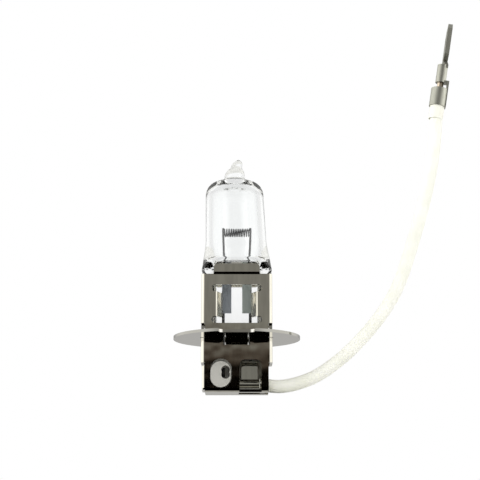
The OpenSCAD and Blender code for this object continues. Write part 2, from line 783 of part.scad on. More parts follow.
// Flat blade with a chamfered tip and a small locking hole
module blade() {
    w = blade_w / 2;
    root = spine_w / 2;
    tip = w - blade_chamfer;
    side_end = blade_tip - blade_chamfer;
    side_start = blade_start + blade_shoulder;
    translate([blade_shift - blade_t / 2, 0, 0]) rotate([90, 0, 90]) linear_extrude(blade_t) difference() {
        polygon([[-root, blade_start], [-w, side_start], [-w, side_end], [-tip, blade_tip],
            [tip, blade_tip], [w, side_end], [w, side_start], [root, blade_start]]);
        translate([0, blade_tip - blade_hole_to_tip]) circle(d = blade_hole_d);
    }
}

quartz_envelope();
filament_coil();
left_support_wire();
right_support_wire();
left_seal_foil();
right_seal_foil();
left_outer_lead();
right_outer_lead();
front_holder_plate();
back_holder_plate();
flange_disc();
spot_welds();
ceramic_insulator();
earth_strap();
crimp_terminal();
insulating_liner();
cable_grip();
lead_conductor();
lead_insulation();
lead_sleeve();
end_sleeve();
blade_terminal();
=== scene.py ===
# %% [markdown]
# # A halogen headlight bulb
# The lamp has a clear quartz capsule with a coiled tungsten filament, a stamped and plated metal
# holder, a round flange that sets the lamp in its reflector, and a short braided lead that ends in
# a flat blade. The CAD frame gives every size and place, so this lesson only builds the looks:
# shapes that need finer mesh work than CAD, and a material for each surface. The frame is loaded
# first, and its box is kept, to set the floor under it.

# %% Load the frame
import math
import bmesh
import bpy
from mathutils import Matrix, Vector


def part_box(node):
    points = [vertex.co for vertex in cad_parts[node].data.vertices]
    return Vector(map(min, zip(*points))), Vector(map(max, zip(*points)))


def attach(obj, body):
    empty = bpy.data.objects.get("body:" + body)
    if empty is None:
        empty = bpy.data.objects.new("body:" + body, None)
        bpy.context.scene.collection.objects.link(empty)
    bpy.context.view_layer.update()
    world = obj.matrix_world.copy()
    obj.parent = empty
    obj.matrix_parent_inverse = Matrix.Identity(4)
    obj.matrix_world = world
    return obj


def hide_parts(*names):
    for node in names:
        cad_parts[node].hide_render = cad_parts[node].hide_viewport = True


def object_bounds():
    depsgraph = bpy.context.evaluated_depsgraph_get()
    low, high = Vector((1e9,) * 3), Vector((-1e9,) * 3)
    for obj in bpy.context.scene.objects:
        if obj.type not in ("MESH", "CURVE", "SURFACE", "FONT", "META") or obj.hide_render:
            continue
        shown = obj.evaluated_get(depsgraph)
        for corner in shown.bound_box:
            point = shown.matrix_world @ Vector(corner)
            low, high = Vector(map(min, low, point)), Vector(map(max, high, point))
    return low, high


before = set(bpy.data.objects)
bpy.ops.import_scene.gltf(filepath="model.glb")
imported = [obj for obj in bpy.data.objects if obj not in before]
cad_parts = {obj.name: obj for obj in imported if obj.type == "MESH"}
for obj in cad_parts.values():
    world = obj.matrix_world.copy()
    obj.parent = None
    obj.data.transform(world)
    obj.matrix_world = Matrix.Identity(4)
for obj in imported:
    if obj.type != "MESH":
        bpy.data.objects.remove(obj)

BODY = "root"
MM = 0.001
cad_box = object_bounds()
print("frame:", len(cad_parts), "nodes,", [round(v / MM, 1) for v in cad_box[1] - cad_box[0]], "mm")

# %% [markdown]
# ## Camera and backdrop
# The camera looks slightly up at the lamp, from its front, through a long lens that keeps the
# tube's sides parallel. It is aimed at a point on the lamp's axis, halfway up the whole model.

# %% Camera
AIM = Vector((0.56, 0, 17.29)) * MM
DISTANCE = 220 * MM
LOOK_UP = math.radians(12.55)
LENS, SENSOR = 93.2, 36         # focal length and film width, in the camera's own millimetres
back = Vector((0, -math.cos(LOOK_UP), -math.sin(LOOK_UP)))
camera_data = bpy.data.cameras.new("camera")
camera_data.lens = LENS
camera_data.sensor_width = SENSOR
camera_data.clip_start = 10 * MM
camera = bpy.data.objects.new("camera", camera_data)
camera.location = AIM + back * DISTANCE
camera.rotation_euler = (-back).to_track_quat("-Z", "Y").to_euler()
bpy.context.scene.collection.objects.link(camera)
bpy.context.scene.camera = camera
print("camera at", [round(v, 3) for v in camera.location])

# %% [markdown]
# ## Two helpers for materials
# Colours are written as the hex values that a paint chart or a screen shows, and Blender's sockets
# want linear light, so one function converts them. The other adds a node with its settings and
# links in one call, which keeps each material short enough to read.

# %% Colour and node helpers
def linear(hex_colour):
    """The linear RGBA of an sRGB hex colour."""
    def channel(text):
        value = int(text, 16) / 255
        return value / 12.92 if value <= 0.04045 else ((value + 0.055) / 1.055) ** 2.4
    return (*[channel(hex_colour[i:i + 2]) for i in (1, 3, 5)], 1)


def add_node(tree, kind, inputs=(), **settings):
    """Adds a node. inputs holds values, or the sockets that are linked to it, by name or number."""
    node = tree.nodes.new(kind)
    for key, value in settings.items():
        setattr(node, key, value)
    for key, value in dict(inputs).items():
        if isinstance(value, bpy.types.NodeSocket):
            tree.links.new(value, node.inputs[key])
        else:
            node.inputs[key].default_value = value
    return node

# %% [markdown]
# ## The room that the lamp reflects
# Bright plate has hardly any colour of its own: it shows the room. Here the lamp is in a white tent
# with somebody standing in front of it, so plated faces that look forward mirror a dark patch, and
# every bend that turns away from it catches the white wall. A world shader can hold that tent:
# white behind and below, brighter at the sides, and a dark patch in front that ends in a soft edge.
# The backdrop is plain white, for the camera's own rays and for those that pass on backwards
# through the glass, and a little greyer towards the sides, which draws the tube's edges.

# %% The tent
WALL_REACH = (0.3, 0.95)        # sideways share of a direction at which the side walls start and are full
WALL_STRENGTH = (0.52, 1.9)     # brightness straight behind, and at the sides
PATCH_EDGE = (33, 25)           # degrees from straight ahead over which the dark patch fades in
PATCH_RISE = (4, 14)            # elevations in degrees over which the patch gets lighter
PATCH_SHADES = [(0.26, "#020100"), (0.29, "#3E352C"), (0.35, "#5C524A"), (0.45, "#93928C"),
                (0.62, "#959490")]
world = bpy.data.worlds.new("white_tent")
world.use_nodes = True
bpy.context.scene.world = world
bpy.context.scene.view_settings.view_transform = "Standard"
tree = world.node_tree
tree.nodes.clear()
direction = add_node(tree, "ShaderNodeTexCoord").outputs["Generated"]
axes = add_node(tree, "ShaderNodeSeparateXYZ", {"Vector": direction}).outputs
side = add_node(tree, "ShaderNodeMath", {0: axes["X"]}, operation="ABSOLUTE")
walls = add_node(tree, "ShaderNodeMapRange",
                 {"Value": side.outputs[0], "From Min": WALL_REACH[0], "From Max": WALL_REACH[1],
                  "To Min": WALL_STRENGTH[0], "To Max": WALL_STRENGTH[1]},
                 interpolation_type="SMOOTHSTEP")
tent = add_node(tree, "ShaderNodeBackground", {"Color": linear("#FFFEFB"), "Strength": walls.outputs[0]})

# %% The dark patch in front
raised = add_node(tree, "ShaderNodeMath", {0: axes["Z"], 1: 0}, operation="MAXIMUM")
level = add_node(tree, "ShaderNodeCombineXYZ", {"X": axes["X"], "Y": axes["Y"], "Z": raised.outputs[0]})
level_unit = add_node(tree, "ShaderNodeVectorMath", {0: level.outputs[0]}, operation="NORMALIZE")
forward = add_node(tree, "ShaderNodeVectorMath", {0: level_unit.outputs[0], 1: (0, -1, 0)},
                   operation="DOT_PRODUCT")
patch = add_node(tree, "ShaderNodeMapRange",
                 {"Value": forward.outputs["Value"], "From Min": math.cos(math.radians(PATCH_EDGE[0])),
                  "From Max": math.cos(math.radians(PATCH_EDGE[1]))},
                 interpolation_type="SMOOTHSTEP")
height = add_node(tree, "ShaderNodeMapRange",
                  {"Value": axes["Z"], "From Min": math.sin(math.radians(PATCH_RISE[0])),
                   "From Max": math.sin(math.radians(PATCH_RISE[1]))})
gradient = add_node(tree, "ShaderNodeValToRGB", {"Fac": height.outputs[0]})
stops = gradient.color_ramp.elements
while len(stops) < len(PATCH_SHADES):
    stops.new(0.5)
for stop, (position, shade) in zip(stops, PATCH_SHADES):
    stop.position = position
    stop.color = linear(shade)
front = add_node(tree, "ShaderNodeBackground", {"Color": gradient.outputs["Color"], "Strength": 1})
room = add_node(tree, "ShaderNodeMixShader",
                {0: patch.outputs[0], 1: tent.outputs[0], 2: front.outputs[0]})

# %% The backdrop
FADE_REACH = (0.75, 0.97)       # backward share of a direction at which the backdrop starts and is full
FADE_SHADE = (0.78, 1.0)        # its brightness there
BACKDROP_EDGE = -0.5            # backward share of a direction at which the backdrop ends
ray = add_node(tree, "ShaderNodeLightPath").outputs
fade = add_node(tree, "ShaderNodeMapRange",
                {"Value": axes["Y"], "From Min": FADE_REACH[0], "From Max": FADE_REACH[1],
                 "To Min": FADE_SHADE[0], "To Max": FADE_SHADE[1]},
                interpolation_type="SMOOTHSTEP")
strength = add_node(tree, "ShaderNodeMath", {0: ray["Is Camera Ray"], 1: fade.outputs[0]},
                    operation="MAXIMUM")
backdrop = add_node(tree, "ShaderNodeBackground",
                    {"Color": (1, 1, 1, 1), "Strength": strength.outputs[0]})
backwards = add_node(tree, "ShaderNodeMath", {0: axes["Y"], 1: BACKDROP_EDGE}, operation="GREATER_THAN")
through = add_node(tree, "ShaderNodeMath", {0: ray["Is Transmission Ray"], 1: backwards.outputs[0]},
                   operation="MULTIPLY")
seen = add_node(tree, "ShaderNodeMath", {0: ray["Is Camera Ray"], 1: through.outputs[0]},
                operation="MAXIMUM")
mixed = add_node(tree, "ShaderNodeMixShader",
                 {0: seen.outputs[0], 1: room.outputs[0], 2: backdrop.outputs[0]})
add_node(tree, "ShaderNodeOutputWorld", {"Surface": mixed.outputs[0]})
print("world:", len(tree.nodes), "nodes")

# %% [markdown]
# ## Floor
# The lamp stands on a pale floor. The floor only has an upper side: its back is see-through, so a
# low camera that looks up past the floor's edge still sees the lamp and the white backdrop. It is
# hidden from mirror-like rays, so that plated faces show the tent's own shades.

# %% Floor
FLOOR_SIZE = 6
FLOOR_GAP = 0.02 * MM           # keeps the floor off the lamp's lowest face
bpy.ops.object.select_all(action="DESELECT")
bpy.ops.mesh.primitive_plane_add(size=FLOOR_SIZE, location=(0, 0, cad_box[0].z - FLOOR_GAP))
floor = bpy.context.object
floor.name = "floor"
floor.visible_glossy = False
pale = bpy.data.materials.new("pale_floor")
pale.use_nodes = True
tree = pale.node_tree
tree.nodes.clear()
paint = add_node(tree, "ShaderNodeBsdfDiffuse", {"Color": linear("#F2F2F0")})
clear = add_node(tree, "ShaderNodeBsdfTransparent")
under = add_node(tree, "ShaderNodeNewGeometry").outputs["Backfacing"]
skin = add_node(tree, "ShaderNodeMixShader", {0: under, 1: paint.outputs[0], 2: clear.outputs[0]})
add_node(tree, "ShaderNodeOutputMaterial", {"Surface": skin.outputs[0]})
floor.data.materials.append(pale)

# %% [markdown]
# ## Softbox
# A soft box above the camera lifts the matt surfaces: the braid, the ceramic and the sleeving. It is
# hidden from mirror-like rays as the floor is, because its square would show in every plated face.

# %% Softbox
SOFTBOX_SIZE, SOFTBOX_POWER = 150 * MM, 0.24
SOFTBOX_OFFSET = Vector((-60, -215, 110)) * MM
softbox_data = bpy.data.lights.new("softbox", "AREA")
softbox_data.size = SOFTBOX_SIZE
softbox_data.energy = SOFTBOX_POWER
softbox = bpy.data.objects.new("softbox", softbox_data)
softbox.location = AIM + SOFTBOX_OFFSET
softbox.rotation_euler = (AIM - softbox.location).to_track_quat("-Z", "Y").to_euler()
softbox.visible_glossy = False
softbox.visible_transmission = False
bpy.context.scene.collection.objects.link(softbox)
print("softbox:", SOFTBOX_POWER, "W")

# %% [markdown]
# ## Helpers for pieces
# Each piece starts as a primitive and is shaped in edit mode. Operators act on whatever is
# selected, so everything is deselected before a primitive is added, and again before a place is
# applied to its mesh. A finished piece keeps its place in its mesh, with the object at the
# origin, so that object coordinates are the same as the frame's.

# %% Helpers for pieces
def begin():
    bpy.ops.object.select_all(action="DESELECT")


def adopt(name, material, *, replaces, smooth):
    """Finishes the active object: its place goes into its mesh, and it joins the frame."""
    piece = bpy.context.object
    piece.name = name
    piece.data.name = name
    bpy.ops.object.select_all(action="DESELECT")
    piece.select_set(True)
    bpy.ops.object.transform_apply(location=True, rotation=True, scale=True)
    bpy.ops.object.shade_smooth_by_angle(angle=math.radians(smooth))
    piece.data.materials.clear()
    piece.data.materials.append(material)
    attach(piece, BODY)
    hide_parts(*replaces)
    triangles = sum(len(face.vertices) - 2 for face in piece.data.polygons)
    print(f"{name}: {triangles} triangles")


def edit(active=True):
    bpy.ops.object.mode_set(mode="EDIT" if active else "OBJECT")


def apply_modifier(kind, **settings):
    modifier = bpy.context.object.modifiers.new(kind.lower(), kind)
    for key, value in settings.items():
        setattr(modifier, key, value)
    bpy.ops.object.modifier_apply(modifier=modifier.name)

# %% [markdown]
# ## The lead: a braided glass-fibre sleeve
# The lead leaves the base at its side, straight for a few millimetres, and then turns up beside the
# lamp in one smooth curve. Its sleeve is braided from glass yarns that cross over and under each
# other, which is a relief that can be modelled: a grid is rolled into a tube along the route, and
# each of its points is lifted by the height of the yarn that is on top there. A bump map would
# be lighter, but the edge of the lead would stay smooth, and the weave shows there most.

# %% Route of the lead
ROUTE = [(3.9, -8.35), (4.7, -8.38), (5.7, -8.5), (7.4, -8.6), (9.3, -8.35), (11.3, -7.8),
         (13.3, -7), (15.2, -5.9), (17, -4.6), (18.8, -3.15), (20.6, -1.45), (22.3, 0.35),
         (23.9, 2.2), (25.4, 4.15), (26.8, 6.2), (28, 8.4), (29, 10.7), (29.85, 13),
         (30.7, 15.5), (31.5, 18), (32.3, 20.5), (33.05, 23.1), (33.75, 25.7), (34.4, 28.4),
         (34.95, 31.1), (35.4, 33.8), (35.75, 36.5), (36, 39.1), (36.25, 41.6), (36.65, 44)]
LEAD_D = 2.3 * MM
route = [Vector((x, 0, z)) * MM for x, z in ROUTE]
lead_length = sum((b - a).length for a, b in zip(route, route[1:]))


def along(points, t):
    """The point at share t of a smooth curve through the points, and its heading."""
    last = len(points) - 1
    i = min(int(t * last), last - 1)
    s = t * last - i
    a, b = points[i], points[i + 1]
    before = points[i - 1] if i else 2 * a - b
    after = points[i + 2] if i + 2 <= last else 2 * b - a
    m0, m1 = (b - before) / 2, (after - a) / 2
    place = ((2 * s**3 - 3 * s**2 + 1) * a + (s**3 - 2 * s**2 + s) * m0
             + (3 * s**2 - 2 * s**3) * b + (s**3 - s**2) * m1)
    slope = (6 * s**2 - 6 * s) * (a - b) + (3 * s**2 - 4 * s + 1) * m0 + (3 * s**2 - 2 * s) * m1
    return place, slope.normalized()


print("lead:", round(lead_length / MM, 1), "mm long")

# %% Braided sleeve
YARNS = 12                      # yarns in each direction
YARN_STEPS = 6                  # grid steps across one yarn
YARN_H = 0.055 * MM             # height of the weave
YARN_DIP = 0.45                 # share of that height by which a yarn sinks where it goes under
around = YARNS * YARN_STEPS
PITCH = math.pi * LEAD_D        # one yarn goes round once in this length
rings = round(lead_length / PITCH * around)


def weave(u, v):
    """Height of the braid, from 0 to 1, where u and v count the yarns of the two directions."""
    cell_u, cell_v = math.floor(u), math.floor(v)
    fu, fv = u - cell_u, v - cell_v
    on_top = (cell_u + cell_v) % 2 == 0
    across, length = (fu, fv) if on_top else (fv, fu)
    crown = math.sqrt(max(0, 1 - (2 * across - 1) ** 2))
    return crown * (1 - YARN_DIP + YARN_DIP * math.sin(math.pi * length))


begin()
bpy.ops.mesh.primitive_grid_add(x_subdivisions=around, y_subdivisions=rings, size=1)
grid = bpy.context.object.data
for point in grid.vertices:
    turn, share = point.co.x + 0.5, point.co.y + 0.5
    centre, heading = along(route, share)
    out = Vector((-heading.z, 0, heading.x))
    angle = 2 * math.pi * turn
    spin = YARNS * share * lead_length / PITCH
    lift = weave(YARNS * turn + spin, YARNS * turn - spin)
    r = LEAD_D / 2 - YARN_H * (1 - lift)
    point.co = centre + (out * math.cos(angle) + Vector((0, 1, 0)) * math.sin(angle)) * r
edit()
bpy.ops.mesh.select_all(action="SELECT")
bpy.ops.mesh.remove_doubles(threshold=0.002 * MM)
bpy.ops.mesh.fill_holes(sides=0)
bpy.ops.mesh.normals_make_consistent(inside=False)
edit(False)
print("sleeve:", around, "steps round,", rings, "rings")

# %% [markdown]
# ## Materials: braid, wire and metal
# Every finish starts from what the real one is. Patterns are worked out from their size on the
# real thing: a noise whose features are to be a millimetre across has a scale of 1000, because the
# coordinates are in metres.

# %% Material helper
PER_MM = 1 / MM


def new_material(name):
    """A new material: returns it, its empty node tree and its object coordinates."""
    material = bpy.data.materials.new(name)
    material.use_nodes = True
    tree = material.node_tree
    tree.nodes.clear()
    return material, tree, add_node(tree, "ShaderNodeTexCoord").outputs["Object"]


def darker(hex_colour, share):
    """The same hue at a share of its sRGB value."""
    return "#" + "".join(f"{round(int(hex_colour[i:i + 2], 16) * share):02X}" for i in (1, 3, 5))

# %% [markdown]
# Nickel plate is bright but never a perfect mirror: the rolled sheet under it is slightly wavy,
# and fine rolling lines and handling marks spread the reflection along one direction. Its own
# colour is a warm grey, in faint streaks along the sheet.

# %% Nickel plate
WAVE_MM, STREAK_MM, MARK_MM = 3.2, 0.9, 0.12    # how far apart the waves, streaks and fine marks are
STREAK_STRETCH, MARK_STRETCH = (1, 1, 0.12), (1, 1, 0.08)
MARK_RELIEF = 0.02              # height of a fine mark, as a share of the waves'
STREAK_SHADE = 0.8              # colour of the darkest streak, as a share of the plate's


def nickel_plate(name, colour, roughness, waviness_mm, streak=STREAK_SHADE):
    material, tree, where = new_material(name)
    waves = add_node(tree, "ShaderNodeTexNoise",
                     {"Vector": where, "Scale": PER_MM / WAVE_MM, "Detail": 1})
    drawn = add_node(tree, "ShaderNodeMapping", {"Vector": where, "Scale": MARK_STRETCH})
    marks = add_node(tree, "ShaderNodeTexNoise",
                     {"Vector": drawn.outputs[0], "Scale": PER_MM / MARK_MM, "Detail": 3})
    rolled = add_node(tree, "ShaderNodeMapping", {"Vector": where, "Scale": STREAK_STRETCH})
    streaks = add_node(tree, "ShaderNodeTexNoise",
                       {"Vector": rolled.outputs[0], "Scale": PER_MM / STREAK_MM, "Detail": 3})
    tone = add_node(tree, "ShaderNodeMix",
                    {"Factor": streaks.outputs["Fac"], 6: linear(darker(colour, streak)),
                     7: linear(colour)}, data_type="RGBA")
    rough = add_node(tree, "ShaderNodeMapRange",
                     {"Value": marks.outputs["Fac"], "To Min": roughness * 0.6, "To Max": roughness * 1.6})
    grain = add_node(tree, "ShaderNodeMath", {0: marks.outputs["Fac"], 1: MARK_RELIEF},
                     operation="MULTIPLY")
    both = add_node(tree, "ShaderNodeMath", {0: waves.outputs["Fac"], 1: grain.outputs[0]},
                    operation="ADD")
    relief = add_node(tree, "ShaderNodeBump",
                      {"Height": both.outputs[0], "Strength": 1.0, "Distance": waviness_mm * MM})
    shader = add_node(tree, "ShaderNodeBsdfPrincipled",
                      {"Base Color": tone.outputs[2], "Metallic": 1.0, "Roughness": rough.outputs[0],
                       "Normal": relief.outputs[0]})
    add_node(tree, "ShaderNodeOutputMaterial", {"Surface": shader.outputs[0]})
    return material


plate = nickel_plate("bright_nickel_plated_steel", "#DDDACE", 0.045, 0.02)
# The flange takes a darker copy of the holder's plate: painted shade, for the grey its underside shows.
flange_plate_painted_shade = nickel_plate("flange_nickel_painted_shade", "#CAC8C3", 0.05, 0.01, streak=0.96)
welds = nickel_plate("heat_tinted_spot_weld", "#8C7F6E", 0.45, 0.05)
tinned = nickel_plate("tin_plated_brass", "#BDBDB2", 0.4, 0.015)
bright_tin = nickel_plate("bright_tin_plated_brass", "#D2D1C6", 0.07, 0.02)
# The earth strap is painted near-black: painted shade, for the shadow in the insulator's pocket where it
# sits.
strap_painted_shade = nickel_plate("steel_painted_shade", "#3B3936", 0.35, 0.02)
print("plated finishes: 6")

# %% [markdown]
# The flange is punched out of sheet. Its rim is painted a darker grey than its faces: painted shade,
# for the dim side of the room that the rim's edge reflects. A second material on the rim's faces
# would need the CAD mesh changed, so the same material tells the rim by its distance from the lamp's axis.

# %% Painted shade on the flange's rim
RIM_WIDTH = 0.06 * MM
rim_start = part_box("flange_disc")[1].y - RIM_WIDTH


def paint_rim_shade(material, colour):
    tree = material.node_tree
    shader = tree.nodes["Principled BSDF"]
    place = tree.nodes["Texture Coordinate"].outputs["Object"]
    flat = add_node(tree, "ShaderNodeVectorMath", {0: place, 1: (1, 1, 0)}, operation="MULTIPLY")
    reach = add_node(tree, "ShaderNodeVectorMath", {0: flat.outputs[0]}, operation="LENGTH")
    rim = add_node(tree, "ShaderNodeMath", {0: reach.outputs["Value"], 1: rim_start},
                   operation="GREATER_THAN")
    face = shader.inputs["Base Color"].links[0].from_socket
    tone = add_node(tree, "ShaderNodeMix", {"Factor": rim.outputs[0], 6: face, 7: linear(colour)},
                    data_type="RGBA")
    tree.links.new(tone.outputs[2], shader.inputs["Base Color"])


# Painted shade: the rim is coloured a darker grey, for the dim light its edge reflects.
paint_rim_shade(flange_plate_painted_shade, "#8C8B86")
print("rim starts at", round(rim_start / MM, 2), "mm from the axis")

# %% [markdown]
# Tungsten, molybdenum and copper wire are drawn through a die, which leaves fine lines along them
# and a soft grey sheen. The lines are a noise that is drawn out along the wire.

# %% Drawn wires
LINE_MM, LINE_STRETCH, LINE_DEPTH = 0.05, (1, 1, 0.1), 0.004 * MM


def drawn_wire(name, colour, roughness):
    material, tree, where = new_material(name)
    drawn = add_node(tree, "ShaderNodeMapping", {"Vector": where, "Scale": LINE_STRETCH})
    lines = add_node(tree, "ShaderNodeTexNoise",
                     {"Vector": drawn.outputs[0], "Scale": PER_MM / LINE_MM, "Detail": 2})
    rough = add_node(tree, "ShaderNodeMapRange",
                     {"Value": lines.outputs["Fac"], "To Min": roughness * 0.7, "To Max": roughness * 1.4})
    relief = add_node(tree, "ShaderNodeBump",
                      {"Height": lines.outputs["Fac"], "Strength": 1.0, "Distance": LINE_DEPTH})
    shader = add_node(tree, "ShaderNodeBsdfPrincipled",
                      {"Base Color": linear(colour), "Metallic": 1.0, "Roughness": rough.outputs[0],
                       "Normal": relief.outputs[0]})
    add_node(tree, "ShaderNodeOutputMaterial", {"Surface": shader.outputs[0]})
    return material


tungsten = drawn_wire("drawn_tungsten", "#4C4C50", 0.3)
molybdenum = drawn_wire("drawn_molybdenum", "#6E6E70", 0.35)
strands = drawn_wire("tinned_copper_strand", "#C7B9A6", 0.3)
print("drawn wires: 3")

# %% [markdown]
# Molybdenum foil sealed in quartz has a thin oxide film. The two foils are one foil in two shades: the
# left one is painted darker, bluer and more metallic, as painted shade, and the right one lighter and
# greyer, as painted light. The film is patchy, and rolling leaves lines along the foil. The film
# scatters some light, so the foil is not fully metallic.

# %% Seal foils
FILM_MM, FOIL_LINE_MM, FOIL_STRETCH, FOIL_DEPTH = 1.2, 0.08, (1, 1, 0.05), 0.003 * MM


def rolled_foil(name, dark, light, metallic):
    material, tree, where = new_material(name)
    film = add_node(tree, "ShaderNodeTexNoise",
                    {"Vector": where, "Scale": PER_MM / FILM_MM, "Detail": 2})
    tone = add_node(tree, "ShaderNodeMix",
                    {"Factor": film.outputs["Fac"], 6: linear(dark), 7: linear(light)}, data_type="RGBA")
    rolled = add_node(tree, "ShaderNodeMapping", {"Vector": where, "Scale": FOIL_STRETCH})
    lines = add_node(tree, "ShaderNodeTexNoise",
                     {"Vector": rolled.outputs[0], "Scale": PER_MM / FOIL_LINE_MM, "Detail": 2})
    relief = add_node(tree, "ShaderNodeBump",
                      {"Height": lines.outputs["Fac"], "Strength": 1.0, "Distance": FOIL_DEPTH})
    shader = add_node(tree, "ShaderNodeBsdfPrincipled",
                      {"Base Color": tone.outputs[2], "Metallic": metallic, "Roughness": 0.45,
                       "Normal": relief.outputs[0]})
    add_node(tree, "ShaderNodeOutputMaterial", {"Surface": shader.outputs[0]})
    return material


# Painted shade on the left foil, darker and bluer, and painted light on the right foil, lighter and
# greyer.
left_foil_painted_shade = rolled_foil("seal_foil_painted_shade", "#B4BCC8", "#C6CCD2", 0.7)
right_foil_painted_light = rolled_foil("seal_foil_painted_light", "#D2DEDA", "#E0E8E4", 0.3)
print("foils: 2")

# %% [markdown]
# The insulator is steatite, a ceramic that is pressed, fired and left unglazed, so it is off-white,
# slightly sandy and matt all over. The two coverings on the lead, a silicone tube and a shrunk
# sleeve, are matt as well, with softer and larger patches. One function makes all three: only the
# size of the patches, their depth and the shine differ.

# %% Ceramic, rubber and sleeving
def matt_body(name, dark, light, roughness, ior, patch_mm, detail, depth_mm):
    material, tree, where = new_material(name)
    patches = add_node(tree, "ShaderNodeTexNoise",
                       {"Vector": where, "Scale": PER_MM / patch_mm, "Detail": detail})
    tone = add_node(tree, "ShaderNodeMix",
                    {"Factor": patches.outputs["Fac"], 6: linear(dark), 7: linear(light)},
                    data_type="RGBA")
    relief = add_node(tree, "ShaderNodeBump",
                      {"Height": patches.outputs["Fac"], "Strength": 1.0, "Distance": depth_mm * MM})
    shader = add_node(tree, "ShaderNodeBsdfPrincipled",
                      {"Base Color": tone.outputs[2], "Roughness": roughness, "IOR": ior,
                       "Normal": relief.outputs[0]})
    add_node(tree, "ShaderNodeOutputMaterial", {"Surface": shader.outputs[0]})
    return material


ceramic = matt_body("fired_steatite", "#AAA9A3", "#C0BFBA", roughness=0.62, ior=1.58,
                    patch_mm=0.1, detail=4, depth_mm=0.02)
rubber = matt_body("silicone_rubber", "#DCD8C6", "#E8E4D4", roughness=0.5, ior=1.45,
                   patch_mm=0.6, detail=3, depth_mm=0.01)
cream = matt_body("shrunk_cream_sleeving", "#E9E8DC", "#F6F6EE", roughness=0.4, ior=1.45,
                  patch_mm=0.5, detail=3, depth_mm=0.01)
print("matt bodies: 3")

# %% [markdown]
# The liner is mica, which is made of flakes pressed into a sheet. A Voronoi texture gives the flakes.

# %% Pressed mica
FLAKE_MM = 0.5
mica, tree, where = new_material("pressed_mica")
flakes = add_node(tree, "ShaderNodeTexVoronoi", {"Vector": where, "Scale": PER_MM / FLAKE_MM})
tone = add_node(tree, "ShaderNodeMix",
                {"Factor": flakes.outputs["Distance"], 6: linear("#A8A294"), 7: linear("#CFCBBE")},
                data_type="RGBA")
shader = add_node(tree, "ShaderNodeBsdfPrincipled",
                  {"Base Color": tone.outputs[2], "Roughness": 0.3, "IOR": 1.58})
add_node(tree, "ShaderNodeOutputMaterial", {"Surface": shader.outputs[0]})
print("mica flakes:", FLAKE_MM, "mm")

# %% [markdown]
# Glass fibre is clear, and a yarn of it looks white because light is scattered at every fibre. The
# varnish on the braid makes it slightly cream. The yarn's fibres run along the yarn, so a fine
# noise on top of the modelled relief is enough, and a slow one soils it a little.

# %% Glass braid
FIBRE_MM, SOIL_MM, FIBRE_DEPTH = 0.09, 4.0, 0.02 * MM
SOIL_RANGE = (0.1, 0.4)         # values of the mixed noises between which the braid gets cleaner
SCATTER_DEPTH = 0.4 * MM


def glass_braid():
    material, tree, where = new_material("varnished_glass_braid")
    fibres = add_node(tree, "ShaderNodeTexNoise",
                      {"Vector": where, "Scale": PER_MM / FIBRE_MM, "Detail": 3})
    soil = add_node(tree, "ShaderNodeTexNoise",
                    {"Vector": where, "Scale": PER_MM / SOIL_MM, "Detail": 2})
    mixed = add_node(tree, "ShaderNodeMath", {0: fibres.outputs["Fac"], 1: soil.outputs["Fac"]},
                     operation="MULTIPLY")
    clean = add_node(tree, "ShaderNodeMapRange",
                     {"Value": mixed.outputs[0], "From Min": SOIL_RANGE[0], "From Max": SOIL_RANGE[1]})
    tone = add_node(tree, "ShaderNodeMix",
                    {"Factor": clean.outputs[0], 6: linear("#ECEDE2"), 7: linear("#FBFBF5")},
                    data_type="RGBA")
    relief = add_node(tree, "ShaderNodeBump",
                      {"Height": fibres.outputs["Fac"], "Strength": 1.0, "Distance": FIBRE_DEPTH})
    shader = add_node(tree, "ShaderNodeBsdfPrincipled",
                      {"Base Color": tone.outputs[2], "Roughness": 0.55, "IOR": 1.5,
                       "Subsurface Weight": 0.25, "Subsurface Radius": (1.0, 1.0, 0.9),
                       "Subsurface Scale": SCATTER_DEPTH, "Normal": relief.outputs[0]})
    add_node(tree, "ShaderNodeOutputMaterial", {"Surface": shader.outputs[0]})
    return material


adopt("lead_braid", glass_braid(), replaces=["lead_sleeve"], smooth=60)

# %% [markdown]
# ## Quartz capsule
# The capsule is one tube of quartz. Its lower end is pressed flat round the foils, with a thicker
# ridge along each side, and its upper end is drawn in and melted shut where the tube was filled,
# which leaves the small tip. It could be a spun profile, but the pressed seal isn't round. So
# a ring is extruded upwards again and again, and each new ring is moved onto its section: the
# seal's outline low down, a circle higher up and a mixture of the two in between. Above the holder
# the pressed glass spreads a little to the sides, and the capsule leans, because no press is quite
# true. The space inside is a second skin whose faces look inwards, so that the wall has its real
# thickness and bends the light as a real tube does.

# %% Sizes of the capsule
capsule_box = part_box("quartz_envelope")
SEAL_HALF_W = capsule_box[1].x
TUBE_R = capsule_box[1].y
SEAL_BOTTOM, TIP_TOP = capsule_box[0].z, capsule_box[1].z
WALL = 1.1 * MM
BORE_R = TUBE_R - WALL
WEB, RIDGE, RIDGE_W = 1.3 * MM, 1.9 * MM, 1.4 * MM      # half thicknesses, and a ridge's width
RIDGE_SOFT = 0.35 * MM          # rounding of a ridge
SIDE_STEPS = (5, 3, 3, 4, 9)    # steps along each line of a quarter of the seal's outline
SEAL_TOP, TUBE_START, TUBE_END = 11.7 * MM, 13.4 * MM, 25.2 * MM
HOLDER_TOP = 10.65 * MM         # above the holder's walls the pressed glass may spread
SPREAD_W, SPREAD_LOW, SPREAD_HIGH = 6.1 * MM, 11.4 * MM, 17.5 * MM
TOP_R = TUBE_R - 0.22 * MM      # the tube is drawn a little narrower towards its dome
LEAN = -0.4 * MM                # how far the dome stands out of true
print("capsule:", round(2 * TUBE_R / MM, 1), "mm across,",
      round((TIP_TOP - SEAL_BOTTOM) / MM, 1), "mm tall")

